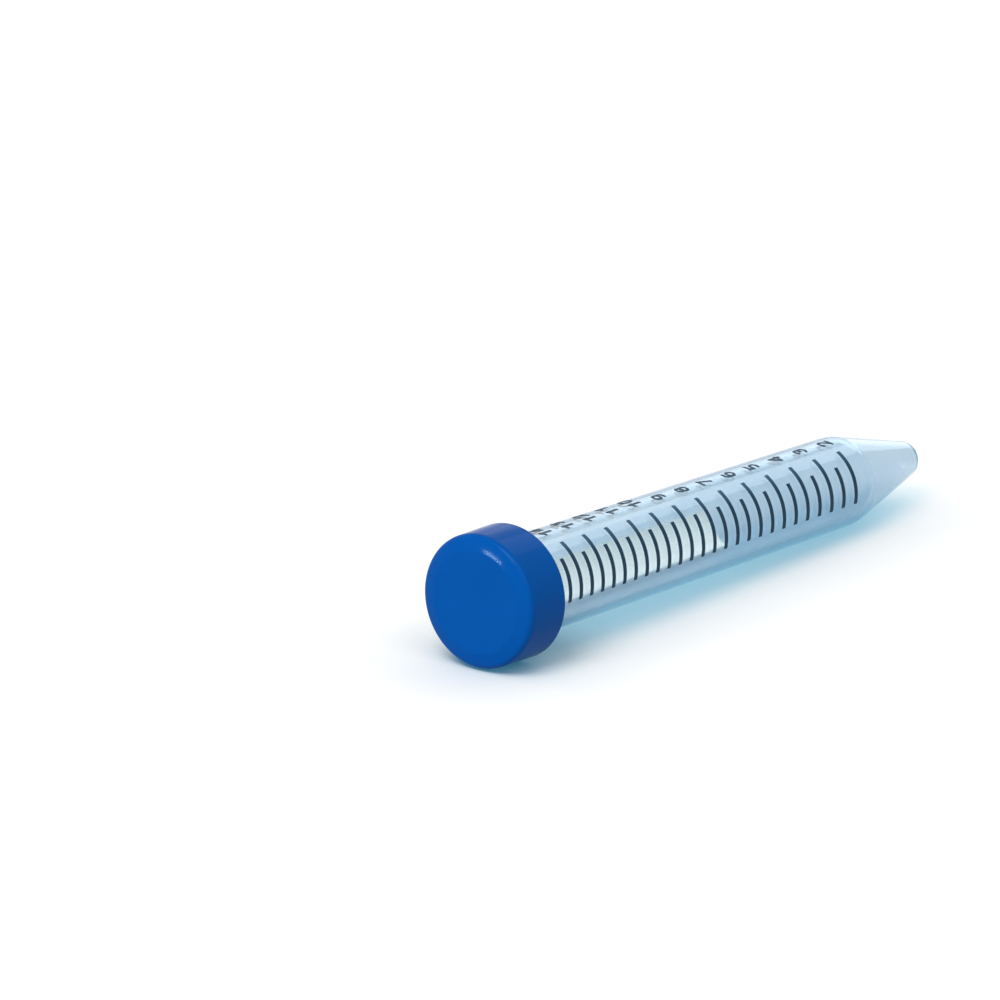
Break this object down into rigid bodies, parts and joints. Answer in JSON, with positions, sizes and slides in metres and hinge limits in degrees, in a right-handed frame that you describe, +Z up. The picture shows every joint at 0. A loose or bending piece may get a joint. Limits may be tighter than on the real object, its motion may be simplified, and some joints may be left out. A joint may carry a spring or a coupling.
{
  "type": "conical centrifuge tube",
  "caption": "Clear conical-bottom centrifuge tube of 15 ml with a printed scale and a blue screw cap, lying on its side.",
  "frame": {"origin": "on the floor, under the middle of the lying tube's bounding box", "axes": "+Z up, +X along the lying tube towards its conical tip, -Y towards the side that carries the scale's lines"},
  "size_m": [0.1204, 0.023, 0.0232],
  "materials": {
    "clear_pp": "clear, slightly milky moulded polypropylene",
    "black_ink": "printed black ink",
    "white_ink": "printed white ink",
    "soft_seal": "soft moulded polyethylene",
    "blue_pe": "satin moulded polyethylene"
  },
  "bodies": {
    "tube_body": {"tube": "clear_pp", "graduation_lines": "black_ink", "graduation_numbers": "black_ink", "writing_patch": "white_ink"},
    "liner_body": {"seal_liner": "soft_seal"},
    "cap_body": {"cap": "blue_pe"}
  },
  "joints": [
    {"name": "cap_rise", "type": "slide", "parent": "tube_body", "child": "liner_body", "axis": [-0.9992, 0, 0.0406], "range_m": [0, 0.00375]},
    {"name": "cap_turn", "type": "hinge", "parent": "liner_body", "child": "cap_body", "pos_m": [-0.05737, 0, 0.01178], "axis": [-0.9992, 0, 0.0406], "range_deg": [0, 540]}
  ],
  "couplings": [
    {"joint": "cap_rise", "follows": "cap_turn", "m_per_rad": 0.00039788}
  ]
}
